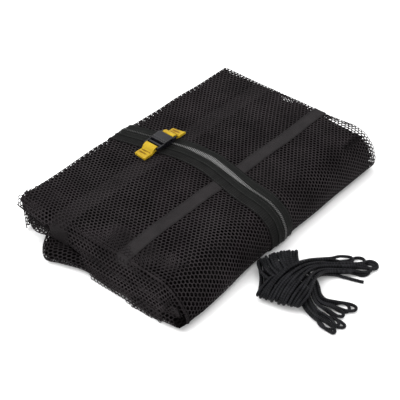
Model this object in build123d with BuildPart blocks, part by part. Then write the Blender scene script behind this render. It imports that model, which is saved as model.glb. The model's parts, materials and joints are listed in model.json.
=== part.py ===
"""Folded mesh safety net for a play enclosure, packed flat, with its zipped door and its lacing cord.

Millimetres. +X runs along the pack, +Y towards its rear edge, +Z up. The origin is on the surface that
the pack rests on, half way along it, between the spine and the rear edge.
"""

import os
from math import cos, pi, radians, sin, tan

from build123d import *

# ---- folded net -----------------------------------------------------------------------------------------
pack_length = 400.0  # along X, from the left end of the outer turn to the right end
nose_reach = 30.0  # how far the lowest fold's loose corner stands out past the left end
pack_width = 280.0  # along Y, from the spine to the rear edge
pack_height = 58.0
spine_radius = 42.0  # the fabric rolls over the front edge with this radius
foot_radius = 14.0  # and rolls under it with this one
rear_radius = 9.0
wrap_thickness = 6.0  # the outer turns of netting, which hold the door
wrap_lip = 8.0  # the outer turn ends this far under the spine
ply_gap = 0.4  # air between one packet of folds and the next
lower_fold_thickness = 19.6
middle_fold_thickness = 15.2
right_inset = 4.0  # the inner folds stop short of the outer turn at the right end

# ---- woven bands ----------------------------------------------------------------------------------------
band_width = 19.0
band_thickness = 1.0
band_y = -43.0
hem_width = 26.0
hem_thickness = 1.0
hem_y = 60.0
hem_drop = 30.0  # how far the hem turns down in front of the fold noses
seat_gap = 0.05  # a sewn strip clears its seat by this much

# ---- door zip -------------------------------------------------------------------------------------------
zip_rear_x = -1.0
zip_front_x = 11.0
# its turns on the top of the pack, x and y
zip_bends = [(9, 95), (18, 60), (25, 30), (27, 0), (21, -35), (13, -75), (10, -108)]
zip_straight = 8.0  # the zip runs straight over this much of each edge
slit = 1.0  # between the two halves of the closed zip
coil_width = 3.4
coil_height = 1.8
tape_width = 14.0
tape_thickness = 0.6
facing_thickness = 0.6
facing_under = 6.0  # the facings start this far from the middle of the zip
facing_left_reach = 27.0
facing_right_reach = 16.0
tape_foot = 5.0  # the tapes end at this height, front and rear
coil_foot = 9.0

# ---- zip slider -----------------------------------------------------------------------------------------
slider_z = 36.0
slider_length = 12.0
slider_flange = 0.6  # wall of the slider beside the coils
wing_thickness = 0.9
web_thickness = 0.5
slide_gap = 0.2
crown_height = 2.4
crown_width = 2.4
crown_length = 7.0
pin_radius = 0.7
pin_gap = 0.08
pull_length = 18.0
pull_width = 7.0
pull_thickness = 1.4
stop_height = 2.6
stop_width = 2.8

# ---- side-release buckle --------------------------------------------------------------------------------
buckle_x = 6.0
buckle_y = 72.0
rail_width = 1.75  # each rail beside the webbing
webbing_play = 1.0  # room between the webbing and each rail
buckle_height = 8.2
buckle_wall = 1.6
webbing_width = 20.0
webbing_thickness = 1.3
bar_radius = 1.5
bar_reach = 17.5  # from the middle of the buckle to each webbing bar
rail_height = 4.4
ladder_bar = 3.0
ladder_slot = 3.6
shoulder = 3.3  # length of the block that closes the socket's mouth
mouth = -1.5  # where the socket opens, from the middle of the buckle
mouth_gap = 0.15
socket_length = 15.0
socket_end_wall = 2.0
window_start = 3.5
window_end = 10.5
tongue_length = 10.6
tongue_width = 4.8
tongue_height = 3.0
prong_thickness = 2.2
prong_height = 4.6
prong_play = 2.55  # room between a prong and the socket's side wall
prong_end = 10.0
barb_start = 3.8
barb_end = 8.4
barb_inset = 0.75  # a barb's face lies this far inside the buckle's side
tail_length = 13.0
tab_run = 9.5  # how far the webbing slopes down from its bar to the net
tack_length = 15.0
tack_width = 1.8
tack_height = 0.4

# ---- lacing cord ----------------------------------------------------------------------------------------
cord_diameter = 4.0
knot_x, knot_y = -53.0, -188.0
knot_length, knot_width, knot_height = 74.0, 70.0, 33.0
# stations of each arm: x, y, width and height
upper_arm = [(-28, -186, 32, 24), (8, -208, 27, 17), (26, -226, 34, 11), (44, -244, 24, 7)]
upper_heading = -43.0  # degrees from +X
lower_arm = [(-58, -210, 34, 26), (-53, -240, 38, 15), (-45, -274, 58, 7)]
lower_heading = -80.0
tail_route = [(9.0, -232.0, 2.5), (12.6, -240.2, 2.15), (15.4, -248.3, 2.05), (19.0, -256.0, 2.05)]

# ---- fits ------------------------------------------------------------------------------------------------
skin = 0.1  # air between two thin parts that move on each other
coil_clear = 0.3  # the buckle's underside clears the coils by this much
overlap = 0.4  # how far two blocks of one moulding run into each other, or step back from one another
wall_past = 1.0  # a cut, or a root, runs this far past the wall it meets

# ---- places that follow from the sizes ------------------------------------------------------------------
pack_left = -(pack_length + nose_reach) / 2 + nose_reach
pack_right = pack_left + pack_length
rear_y = pack_width / 2
spine_y = -pack_width / 2
zip_line = [(zip_rear_x, rear_y - zip_straight), *zip_bends, (zip_front_x, spine_y + zip_straight)]
facing_low, facing_high = skin, skin + facing_thickness
tape_low, tape_high = facing_high + seat_gap, facing_high + seat_gap + tape_thickness
coil_low, coil_high = tape_high + seat_gap, tape_high + seat_gap + coil_height
buckle_z = pack_height + coil_high + coil_clear
slider_width = slit + 2 * (coil_width + slide_gap + slider_flange)
buckle_width = webbing_width + 2 * (webbing_play + rail_width)
fold_right = pack_right - right_inset
middle_z = lower_fold_thickness + ply_gap
upper_z = middle_z + middle_fold_thickness + ply_gap
upper_top = pack_height - wrap_thickness - ply_gap

os.makedirs("parts", exist_ok=True)


def save(part, name):
    """Label a finished piece and write it as its own STEP."""
    part.label = name
    export_step(part, f"parts/{name}.step")


def pack_outline(grow):
    """Section of the pack across its length, moved outwards by grow (inwards when negative).

    Its own x is the row's Y and its own y is the height.
    """
    with BuildSketch() as outline:
        with Locations((0, pack_height / 2)):
            Rectangle(pack_width + 2 * grow, pack_height + 2 * grow)
        top = pack_height + grow
        half = pack_width / 2 + grow
        fillet(outline.vertices().sort_by_distance((-half, top))[0], spine_radius + grow)
        fillet(outline.vertices().sort_by_distance((-half, -grow))[0], foot_radius + grow)
        fillet(outline.vertices().sort_by_distance((half, top))[0], rear_radius + grow)
    return outline.sketch


def zip_strip(side_a, side_b):
    """Plan of a strip that follows the door zip, between two offsets from its middle line."""
    with BuildSketch(Plane.XY) as strip:
        with BuildLine():
            edges = []
            for side in (side_a, side_b):
                points = [(x + side, y) for x, y in zip_line]
                edges.append(Spline(points, tangents=[(0, -1), (0, -1)]))
            rear_end = rear_y + 20
            front_end = spine_y - 20
            Polyline(
                edges[0] @ 0,
                (zip_rear_x + side_a, rear_end),
                (zip_rear_x + side_b, rear_end),
                edges[1] @ 0,
            )
            Polyline(
                edges[0] @ 1,
                (zip_front_x + side_a, front_end),
                (zip_front_x + side_b, front_end),
                edges[1] @ 1,
            )
        make_face()
    return strip.sketch


def sewn_strip(side_a, side_b, low, high, foot):
    """A strip of the door that lies on the pack from its rear flap, over the top and down the spine."""
    with BuildPart() as strip:
        with BuildSketch(Plane.YZ.offset(pack_left)):
            add(pack_outline(high))
            add(pack_outline(low), mode=Mode.SUBTRACT)
        extrude(amount=pack_length)
        with BuildSketch(Plane.XY.offset(foot)):
            add(zip_strip(side_a, side_b))
        extrude(amount=pack_height + 20, mode=Mode.INTERSECT)
    return strip.part


# ---- outer turn -----------------------------------------------------------------------------------------
channel = band_thickness + 2 * seat_gap
with BuildPart() as outer_wrap:
    with BuildSketch(Plane.YZ.offset(pack_left)):
        add(pack_outline(0))
        add(pack_outline(-wrap_thickness), mode=Mode.SUBTRACT)
    extrude(amount=pack_length)
    lip_y = spine_y + foot_radius + wrap_lip
    with BuildSketch(Plane.XY):
        with Locations(((pack_left + pack_right) / 2, (lip_y + rear_y + 20) / 2)):
            Rectangle(pack_length + 20, rear_y + 20 - lip_y)
    extrude(amount=wrap_thickness, mode=Mode.SUBTRACT)
    with BuildSketch(Plane.XY.offset(pack_height - channel)):
        with Locations(((pack_left + pack_right) / 2, band_y)):
            Rectangle(pack_length + 20, band_width + 2 * seat_gap)
    extrude(amount=channel, mode=Mode.SUBTRACT)
save(outer_wrap.part, "outer_wrap")


# ---- inner folds ----------------------------------------------------------------------------------------
def fold_packet(low, high, nose_outline, nose_radii, nose_round):
    """One packet of folded netting: rounded noses at the left, inside the outer turn everywhere else."""
    with BuildPart() as packet:
        with BuildSketch(Plane.XY.offset(low)) as plan:
            front = spine_y
            with BuildLine():
                Polyline((fold_right, front), *nose_outline, (fold_right, rear_y), (fold_right, front))
            make_face()
            for corner, radius in nose_radii:
                fillet(plan.vertices().sort_by_distance(corner)[0], radius)
        extrude(amount=high - low)
        nose_edges = packet.edges().filter_by(Axis.Z, reverse=True)
        nose_edges = nose_edges.filter_by_position(Axis.X, -500, pack_left + 1.0)
        fillet(nose_edges, nose_round)
        with BuildSketch(Plane.YZ.offset(pack_left - 100)):
            add(pack_outline(-wrap_thickness - ply_gap))
            if low < wrap_thickness:
                clear_y = spine_y + foot_radius + wrap_lip + ply_gap
                with Locations(((clear_y + rear_y - wrap_thickness - ply_gap) / 2, wrap_thickness)):
                    Rectangle(rear_y - wrap_thickness - ply_gap - clear_y, 2 * wrap_thickness)
        extrude(amount=pack_length + 200, mode=Mode.INTERSECT)
    return packet.part


left = pack_left
corner_low = (left - nose_reach, 66)
lower_outline = [(left - 3, spine_y), (left - 8, 10), corner_low, (left - 12, 92), (left - 4, rear_y)]
lower_fold = fold_packet(
    0, lower_fold_thickness, lower_outline, [(corner_low, 16.0), ((left - 12, 92), 12.0)], 6.0
)
save(lower_fold, "lower_fold")

corner_middle = (left - 13, 108)
middle_outline = [(left - 4, spine_y), (left - 10, 40), corner_middle, (left - 4, rear_y)]
middle_fold = fold_packet(
    middle_z, middle_z + middle_fold_thickness, middle_outline, [(corner_middle, 14.0)], 5.0
)
save(middle_fold, "middle_fold")

corner_upper = (left - 10, 120)
upper_outline = [(left - 2, spine_y), (left - 7, 20), corner_upper, (left - 5, rear_y)]
with BuildPart() as upper_fold:
    add(fold_packet(upper_z, upper_top, upper_outline, [(corner_upper, 10.0)], 5.0))
    with BuildSketch(Plane.XY.offset(upper_top - hem_thickness - 2 * seat_gap)):
        with Locations((0, hem_y)):
            Rectangle(pack_length + 200, hem_width + 4 * seat_gap)
    extrude(amount=10, mode=Mode.SUBTRACT)
save(upper_fold.part, "upper_fold")

# ---- woven bands ----------------------------------------------------------------------------------------
with BuildPart() as reinforcing_band:
    with BuildSketch(Plane.XY.offset(pack_height - channel + seat_gap)):
        with Locations(((pack_left + pack_right) / 2, band_y)):
            Rectangle(pack_length, band_width)
    extrude(amount=band_thickness)
save(reinforcing_band.part, "reinforcing_band")

hem_face_x = left - 14.5  # clear of the middle fold's nose
with BuildPart() as hem_band:
    with BuildSketch(Plane.XZ.offset(-hem_y - hem_width / 2)) as hem_section:
        with BuildLine():
            top = upper_top - seat_gap
            Polyline(
                (fold_right, top),
                (hem_face_x, top),
                (hem_face_x, top - hem_drop),
                (hem_face_x + hem_thickness, top - hem_drop),
                (hem_face_x + hem_thickness, top - hem_thickness),
                (fold_right, top - hem_thickness),
                (fold_right, top),
            )
        make_face()
        outer_corner = hem_section.vertices().group_by(Axis.X)[0].sort_by(Axis.Y)[-1]
        fillet(outer_corner, 0.9 * hem_thickness)
    extrude(amount=hem_width)
save(hem_band.part, "hem_band")

# ---- door facings, zip tapes and coils ------------------------------------------------------------------
half_slit = slit / 2
strips = {
    "door_facing_left": (-facing_left_reach, -facing_under, facing_low, facing_high, tape_foot),
    "door_facing_right": (facing_under, facing_right_reach, facing_low, facing_high, tape_foot),
    "zip_tape_left": (-tape_width, -half_slit, tape_low, tape_high, tape_foot),
    "zip_tape_right": (half_slit, tape_width, tape_low, tape_high, tape_foot),
    "zip_coil_left": (-half_slit - coil_width, -half_slit, coil_low, coil_high, coil_foot),
    "zip_coil_right": (half_slit, half_slit + coil_width, coil_low, coil_high, coil_foot),
}
for strip_name, (side_a, side_b, low, high, foot) in strips.items():
    save(sewn_strip(side_a, side_b, low, high, foot), strip_name)

with BuildPart() as zip_end_stops:
    with BuildSketch(Plane.XZ.offset(-rear_y - tape_high - seat_gap)):
        stop_x = half_slit + stop_width / 2
        with Locations((zip_rear_x - stop_x, tape_foot + 2), (zip_rear_x + stop_x, tape_foot + 2)):
            RectangleRounded(stop_width, stop_height, 0.4)
    extrude(amount=-coil_height)
save(zip_end_stops.part, "zip_end_stops")

# ---- slider on the rear flap ----------------------------------------------------------------------------
upper_wing_y = rear_y + coil_high + slide_gap
with BuildPart() as zip_slider:
    # wing between the tapes and the net
    with BuildSketch(Plane.XZ.offset(-rear_y - facing_low)):
        with Locations((zip_rear_x, slider_z)):
            RectangleRounded(slider_width - 0.6, slider_length, 2.0)
    extrude(amount=-(tape_low - facing_low - skin))
    # wing over the coils
    with BuildSketch(Plane.XZ.offset(-upper_wing_y)):
        with Locations((zip_rear_x, slider_z)):
            RectangleRounded(slider_width, slider_length, 2.2)
    extrude(amount=-wing_thickness)
    # thin wall that joins the wings through the slit
    with BuildSketch(Plane.XZ.offset(-rear_y - facing_low)):
        with Locations((zip_rear_x, slider_z + slider_length / 4)):
            Rectangle(web_thickness, slider_length / 2 - 1)
    extrude(amount=-(coil_high + slide_gap + skin))
    # side flanges beside the coils
    with BuildSketch(Plane.XZ.offset(-rear_y - tape_high - slide_gap)):
        flange_x = slider_width / 2 - slider_flange / 2
        with Locations((zip_rear_x - flange_x, slider_z), (zip_rear_x + flange_x, slider_z)):
            Rectangle(slider_flange, slider_length - 5)
    extrude(amount=-(coil_high - tape_high + wing_thickness / 2))
    # crown that carries the pull
    with BuildSketch(Plane.YZ.offset(zip_rear_x - crown_width / 2)) as crown:
        with Locations((upper_wing_y + wing_thickness + (crown_height - overlap) / 2, slider_z)):
            RectangleRounded(crown_height + overlap, crown_length, 1.0)
        with Locations((upper_wing_y + wing_thickness + crown_height / 2, slider_z)):
            Circle(pin_radius + pin_gap, mode=Mode.SUBTRACT)
    extrude(amount=crown_width)
save(zip_slider.part, "zip_slider")

pull_y = upper_wing_y + wing_thickness + crown_height / 2
with BuildPart() as zip_pull_tab:
    arm_gap = crown_width / 2 + slide_gap
    with BuildSketch(Plane.XZ.offset(-pull_y - pull_thickness / 2)):
        with Locations((zip_rear_x, slider_z - pull_length / 2 + pin_radius)):
            RectangleRounded(pull_width, pull_length, 2.0)
        with Locations((zip_rear_x, slider_z)):
            Rectangle(2 * arm_gap, crown_length + 2, mode=Mode.SUBTRACT)
        with Locations((zip_rear_x, slider_z - pull_length + 5)):
            SlotCenterToCenter(3.0, 2.0, rotation=90, mode=Mode.SUBTRACT)
    extrude(amount=pull_thickness)
    with BuildSketch(Plane.YZ.offset(zip_rear_x - arm_gap - overlap)):
        with Locations((pull_y, slider_z)):
            Circle(pin_radius)
    extrude(amount=2 * (arm_gap + overlap))
save(zip_pull_tab.part, "zip_pull_tab")

# ---- buckle ---------------------------------------------------------------------------------------------
half_width = buckle_width / 2
bar_z = buckle_z + buckle_height / 2
prong_y = half_width - buckle_wall - prong_play - prong_thickness / 2
barb_reach = half_width - barb_inset


def buckle_box(u_low, u_high, half, z_low, z_high, mode=Mode.ADD):
    """A block of the buckle from u_low to u_high along it, as wide as two halves, between two heights."""
    with BuildSketch(Plane.XY.offset(z_low)) as plan:
        with Locations((buckle_x + (u_low + u_high) / 2, buckle_y)):
            Rectangle(u_high - u_low, 2 * half)
    extrude(plan.sketch, amount=z_high - z_low, mode=mode)


def webbing_bar(u):
    """The round bar that the webbing is looped on."""
    with BuildSketch(Plane.XZ.offset(-buckle_y - half_width + rail_width / 2)) as section:
        with Locations((buckle_x + u, bar_z)):
            Circle(bar_radius)
    extrude(section.sketch, amount=buckle_width - rail_width)


def side_rails(u_low, u_high):
    """Two flat rails that carry a webbing bar."""
    with BuildSketch(Plane.XY.offset(bar_z - rail_height / 2)) as plan:
        offset_y = half_width - rail_width / 2
        middle = buckle_x + (u_low + u_high) / 2
        with Locations((middle, buckle_y - offset_y), (middle, buckle_y + offset_y)):
            RectangleRounded(u_high - u_low, rail_width, 0.6)
    extrude(plan.sketch, amount=rail_height)


socket_end = mouth + socket_length
with BuildPart() as buckle_female:
    buckle_box(mouth, socket_end, half_width, buckle_z, buckle_z + buckle_height)
    upright = buckle_female.edges().filter_by(Axis.Z).sort_by(Axis.X)[-2:]
    fillet(upright, 2.5)
    fillet(buckle_female.faces().sort_by(Axis.Z)[-1].edges(), 1.2)
    cavity_low = buckle_z + buckle_wall
    cavity_high = buckle_z + buckle_height - buckle_wall
    buckle_box(mouth - wall_past, socket_end - socket_end_wall, half_width - buckle_wall, cavity_low, cavity_high,
               Mode.SUBTRACT)
    buckle_box(window_start, window_end, half_width + wall_past, cavity_low, cavity_high, Mode.SUBTRACT)
    side_rails(socket_end - 1.5, bar_reach + bar_radius)
    webbing_bar(bar_reach)
save(buckle_female.part, "buckle_female")

shoulder_high = mouth - mouth_gap
shoulder_low = shoulder_high - shoulder
with BuildPart() as buckle_male:
    buckle_box(shoulder_low, shoulder_high, half_width, buckle_z + overlap, buckle_z + buckle_height - overlap)
    fillet(buckle_male.faces().sort_by(Axis.Z)[-1].edges().filter_by(Axis.Y), 0.8)
    side_rails(-bar_reach - bar_radius, shoulder_low + wall_past)
    buckle_box(shoulder_low - ladder_slot - ladder_bar, shoulder_low - ladder_slot, half_width - rail_width / 2,
               bar_z - 1.6, bar_z + 1.6)
    webbing_bar(-bar_reach)
    buckle_box(shoulder_high - wall_past, shoulder_high + tongue_length, tongue_width / 2,
               bar_z - tongue_height / 2, bar_z + tongue_height / 2)
    tip_edges = buckle_male.faces().sort_by(Axis.X)[-1].edges()
    fillet(tip_edges, 0.8)
save(buckle_male.part, "buckle_male")

root_radius = prong_thickness / 2
root_u = shoulder_high + root_radius + 0.05
for side, prong_name in ((-1, "buckle_prong_front"), (1, "buckle_prong_rear")):
    with BuildPart() as prong:
        with BuildSketch(Plane.XY.offset(bar_z - prong_height / 2)):
            inner = prong_y - root_radius
            outer = prong_y + root_radius
            corners = [
                (root_u, inner),
                (prong_end, inner),
                (prong_end, outer),
                (barb_end, barb_reach),
                (barb_start, barb_reach),
                (barb_start, outer),
                (root_u, outer),
                (root_u, inner),
            ]
            with BuildLine():
                Polyline([(buckle_x + u, buckle_y + side * v) for u, v in corners])
            make_face()
            with Locations((buckle_x + root_u, buckle_y + side * prong_y)):
                Circle(root_radius)
        extrude(amount=prong_height)
        barb_edges = prong.edges().filter_by(Axis.Z)
        fillet(barb_edges.sort_by_distance((buckle_x + barb_end, buckle_y + side * barb_reach, bar_z))[:1], 1.2)
    save(prong.part, prong_name)

# ---- webbing tabs and their stitching -------------------------------------------------------------------
loop_radius = bar_radius + 0.2 + webbing_thickness
for side, tab_name in ((-1, "webbing_tab_left"), (1, "webbing_tab_right")):
    bar_x = buckle_x + side * bar_reach
    foot_x = bar_x + side * tab_run
    end_x = foot_x + side * tail_length
    lie_z = pack_height + tape_high + seat_gap
    with BuildPart() as webbing_tab:
        with BuildSketch(Plane.XZ.offset(-buckle_y - webbing_width / 2)):
            with BuildLine():
                Polyline(
                    (bar_x, bar_z + loop_radius),
                    (foot_x, lie_z + 2 * webbing_thickness),
                    (end_x, lie_z + 2 * webbing_thickness),
                    (end_x, lie_z),
                    (foot_x, lie_z),
                    (bar_x, bar_z - loop_radius),
                    (bar_x, bar_z + loop_radius),
                )
            make_face()
            with Locations((bar_x, bar_z)):
                Circle(loop_radius)
            with Locations((bar_x, bar_z)):
                Circle(bar_radius + 0.2, mode=Mode.SUBTRACT)
        extrude(amount=webbing_width)
    save(webbing_tab.part, tab_name)
    stitch_z = lie_z + 2 * webbing_thickness + seat_gap
    with BuildPart() as tab_stitching:
        with BuildSketch(Plane.XY.offset(stitch_z)):
            rows = [foot_x + side * share * tail_length for share in (0.18, 0.42)]
            with Locations(*[(x, buckle_y) for x in rows]):
                RectangleRounded(tack_width, tack_length, 0.6)
        extrude(amount=tack_height)
    save(tab_stitching.part, tab_name.replace("webbing_tab", "tab_stitching"))


# ---- lacing cord ----------------------------------------------------------------------------------------
def bunch(stations, heading):
    """Sections of a tapering bunch of strands on the ground, each (x, y, width, height), then a loft."""
    turn = radians(heading)
    across = (-sin(turn), cos(turn), 0)
    along = (cos(turn), sin(turn), 0)
    sections = []
    for x, y, width, height in stations:
        with BuildSketch(Plane(origin=(x, y, height / 2), x_dir=across, z_dir=along)) as section:
            RectangleRounded(width, height, 0.4 * height)
        sections.append(section.sketch)
    loft(sections)


with BuildPart() as cord_hank:
    with BuildSketch(Plane.XY):
        with Locations((knot_x, knot_y)):
            Ellipse(knot_length / 2, knot_width / 2)
    extrude(amount=knot_height)
    fillet(cord_hank.faces().sort_by(Axis.Z)[-1].edges(), 0.4 * knot_height)
    fillet(cord_hank.faces().sort_by(Axis.Z)[0].edges(), 0.15 * knot_height)
    bunch(upper_arm, upper_heading)
    bunch(lower_arm, lower_heading)
save(cord_hank.part, "cord_hank")


def bend_radii(points):
    """The largest arc that each inner point of a route allows."""
    radii = []
    for before, here, after in zip(points, points[1:], points[2:]):
        run_in = Vector(*here) - Vector(*before)
        run_out = Vector(*after) - Vector(*here)
        half_turn = radians(run_in.get_angle(run_out)) / 2
        radii.append(0.45 * min(run_in.length, run_out.length) / tan(half_turn))
    return radii


tail_radii = bend_radii(tail_route)
print("cord_tail bend radii, mm:", [round(radius, 1) for radius in tail_radii])
with BuildPart() as cord_tail:
    with BuildLine():
        tail_path = FilletPolyline(*tail_route, radius=tail_radii)
    with BuildSketch(Plane(origin=tail_path @ 0, z_dir=tail_path % 0)):
        Circle(cord_diameter / 2)
    sweep()
section_area = pi * cord_diameter**2 / 4
fill = cord_tail.part.volume / (section_area * tail_path.length)
print("cord_tail length, mm:", round(tail_path.length, 1), "volume over section times length:", round(fill, 4))
save(cord_tail.part, "cord_tail")
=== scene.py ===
"""Folded mesh net of a play enclosure, with its zipped door, its buckle and its hank of lacing cord."""

import json
import logging
from collections.abc import Callable, Sequence
from dataclasses import dataclass, field
from enum import Enum
from math import cos, hypot, pi, radians, sin, sqrt

import bpy
import numpy as np
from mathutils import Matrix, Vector

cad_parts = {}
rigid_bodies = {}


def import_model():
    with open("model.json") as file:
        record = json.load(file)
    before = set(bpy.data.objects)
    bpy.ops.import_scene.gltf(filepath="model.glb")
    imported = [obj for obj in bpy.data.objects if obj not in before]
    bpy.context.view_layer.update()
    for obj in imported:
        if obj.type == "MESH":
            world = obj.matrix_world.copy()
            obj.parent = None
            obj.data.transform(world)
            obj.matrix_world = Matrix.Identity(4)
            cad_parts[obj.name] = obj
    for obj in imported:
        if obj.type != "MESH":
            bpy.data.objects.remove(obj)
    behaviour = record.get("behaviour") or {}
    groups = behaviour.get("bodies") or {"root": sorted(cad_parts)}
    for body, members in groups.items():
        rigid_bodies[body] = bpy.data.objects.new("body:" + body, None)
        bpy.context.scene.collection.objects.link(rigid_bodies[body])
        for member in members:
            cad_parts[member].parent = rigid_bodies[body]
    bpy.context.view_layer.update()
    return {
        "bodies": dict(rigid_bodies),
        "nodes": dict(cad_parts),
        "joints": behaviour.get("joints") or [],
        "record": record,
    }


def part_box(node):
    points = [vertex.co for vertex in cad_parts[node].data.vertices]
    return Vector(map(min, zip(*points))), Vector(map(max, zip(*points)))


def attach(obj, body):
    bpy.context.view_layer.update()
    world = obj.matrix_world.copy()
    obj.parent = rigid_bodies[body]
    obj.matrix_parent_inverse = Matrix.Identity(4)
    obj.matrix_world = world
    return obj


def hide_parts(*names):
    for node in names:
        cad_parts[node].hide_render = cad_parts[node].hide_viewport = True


LOG = logging.getLogger("folded_net")
MM = 0.001
Array = np.ndarray
Triple = tuple[float, float, float]
Colour = Triple
Material = bpy.types.Material
Object = bpy.types.Object
Shape = tuple[Array, list[tuple[int, ...]]]


class Slot(Enum):
    """Material slots of the record."""

    NETTING = "netting"
    BAND = "woven_band"
    FACING = "door_facing"
    TAPE = "zip_tape"
    COIL = "zip_coil"
    METAL = "zip_metal"
    BUCKLE = "buckle_plastic"
    WEBBING = "yellow_webbing"
    THREAD = "yellow_thread"
    CORD = "black_cord"


class End(Enum):
    """The two ends of the folded pack."""

    LEFT = -1
    RIGHT = 1


# ---- shader arithmetic ------------------------------------------------------------------------------------
class Wire:
    """An output socket that takes part in Python arithmetic by adding Math nodes."""

    def __init__(self, graph: "Graph", socket: bpy.types.NodeSocket) -> None:
        """Wrap a socket of one material's graph."""
        self.graph = graph
        self.socket = socket

    def _math(self, operation: str, first: "Wire | float", second: "Wire | float" = 0.0) -> "Wire":
        """Add one Math node."""
        return self.graph.node("ShaderNodeMath", {"operation": operation}, {0: first, 1: second})

    def __add__(self, other: "Wire | float") -> "Wire":
        """Sum."""
        return self._math("ADD", self, other)

    __radd__ = __add__

    def __sub__(self, other: "Wire | float") -> "Wire":
        """Difference."""
        return self._math("SUBTRACT", self, other)

    def __rsub__(self, other: float) -> "Wire":
        """Difference from a number."""
        return self._math("SUBTRACT", other, self)

    def __mul__(self, other: "Wire | float") -> "Wire":
        """Product."""
        return self._math("MULTIPLY", self, other)

    __rmul__ = __mul__

    def wave(self) -> "Wire":
        """Sine, in radians."""
        return self._math("SINE", self)

    def spread(self, low: float, high: float, to_low: float = 0.0, to_high: float = 1.0) -> "Wire":
        """Map a range onto another one, held at its ends."""
        ends = {"From Min": low, "From Max": high, "To Min": to_low, "To Max": to_high}
        return self.graph.node("ShaderNodeMapRange", {"clamp": True}, {"Value": self, **ends})


class Graph:
    """One material's node graph."""

    def __init__(self, name: str) -> None:
        """Start an empty material."""
        self.material = bpy.data.materials.new(name)
        self.material.use_nodes = True
        self.tree = self.material.node_tree
        self.tree.nodes.clear()

    def node(self, kind: str, settings: dict | None = None, inputs: dict | None = None,
             output: str | int = 0) -> Wire:
        """Add a node.

        Args:
            kind: The node's type.
            settings: Attributes that are set before anything is linked.
            inputs: A value or a wire for each socket, by name or place.
            output: The socket that the returned wire stands for.

        Returns:
            A wire on the output.
        """
        made = self.tree.nodes.new(kind)
        for key, value in (settings or {}).items():
            setattr(made, key, value)
        for key, value in (inputs or {}).items():
            if isinstance(value, Wire):
                self.tree.links.new(value.socket, made.inputs[key])
            else:
                made.inputs[key].default_value = value
        return Wire(self, made.outputs[output])

    def split(self, where: Wire) -> list[Wire]:
        """The three parts of a vector."""
        parts = self.node("ShaderNodeSeparateXYZ", inputs={0: where}).socket.node
        return [Wire(self, parts.outputs[i]) for i in range(3)]

    def place(self) -> list[Wire]:
        """Object coordinates in metres, split."""
        return self.split(self.node("ShaderNodeTexCoord", output="Object"))

    def flat(self) -> list[Wire]:
        """The piece's own two flat coordinates, split."""
        return self.split(self.node("ShaderNodeUVMap", {"uv_map": "UVMap"}))[:2]

    def cloud(self, scale: float, detail: float = 3.0) -> Wire:
        """Soft noise over the object, by its scale per metre."""
        where = self.node("ShaderNodeTexCoord", output="Object")
        return self.node("ShaderNodeTexNoise", None, {"Vector": where, "Scale": scale, "Detail": detail})

    def tint(self, share: Wire, dark: Colour, light: Colour) -> Wire:
        """A colour between two, by a share."""
        settings = {"data_type": "RGBA", "clamp_factor": True}
        return self.node("ShaderNodeMix", settings, {0: share, 6: (*dark, 1.0), 7: (*light, 1.0)}, 2)

    def bump(self, height: Wire, depth: float, strength: float = 1.0) -> Wire:
        """Normal of a relief whose depth is in metres."""
        return self.node("ShaderNodeBump", None, {"Height": height, "Distance": depth, "Strength": strength})

    def surface(self, colour: Wire, **sockets: Wire | float) -> Material:
        """End the graph in a Principled shader.

        Args:
            colour: Base colour.
            sockets: Other sockets by name, with underscores for spaces.

        Returns:
            The finished material.
        """
        values = {key.replace("_", " "): value for key, value in sockets.items()}
        shader = self.node("ShaderNodeBsdfPrincipled", None, {"Base Color": colour, **values})
        end = self.tree.nodes.new("ShaderNodeOutputMaterial")
        self.tree.links.new(shader.socket, end.inputs["Surface"])
        return self.material


# ---- finishes ---------------------------------------------------------------------------------------------
@dataclass(frozen=True)
class Finish:
    """What every finish has: its name and the two colours that it goes between."""

    name: str
    dark: Colour
    light: Colour


@dataclass(frozen=True)
class KnitFinish(Finish):
    """Knitted polyester strands, with the nap and the uneven dye of a warp knit."""

    rough: float = 0.55
    gloss: float = 0.04

    def make(self) -> Material:
        """Build the material."""
        graph = Graph(self.name)
        x, y, z = graph.place()
        broad = graph.cloud(22.0)
        fine = graph.cloud(700.0, 4.0)
        twist = ((x * 5200.0 + y * 3100.0 + z * 2400.0).wave() * 0.5 + 0.5)
        share = broad.spread(0.3, 0.7) * 0.45 + fine.spread(0.25, 0.75) * 0.55
        normal = graph.bump(twist * 0.5 + fine, 0.0004, 0.8)
        colour = graph.tint(share, self.dark, self.light)
        return graph.surface(colour, Roughness=fine.spread(0.2, 0.8, self.rough - 0.1, self.rough + 0.15),
                             Normal=normal, Specular_IOR_Level=self.gloss)


@dataclass(frozen=True)
class PlyFinish(Finish):
    """Deeper layers of the same knit, painted near black as shade, with rows of holes in darker painted shade
    between dull strands.
    """

    column: float = 4.3 * MM
    row: float = 5.9 * MM

    def make(self) -> Material:
        """Build the material."""
        graph = Graph(self.name)
        x, y, z = graph.place()
        sway = graph.cloud(30.0) * 0.004
        across = ((x + sway) * (pi / self.column)).wave()
        along = ((y + z + sway) * (2 * pi / self.row)).wave()
        # Painted shade: the holes between the strands are darker than the strands.
        hole = (across * along).spread(0.05, 0.45)
        strand = 1.0 - hole
        broad = graph.cloud(25.0).spread(0.3, 0.7)
        colour = graph.tint(strand * (broad * 0.5 + 0.5), self.dark, self.light)
        normal = graph.bump(strand, 0.0012, 0.7)
        return graph.surface(colour, Roughness=0.9, Normal=normal, Specular_IOR_Level=0.0)


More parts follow.
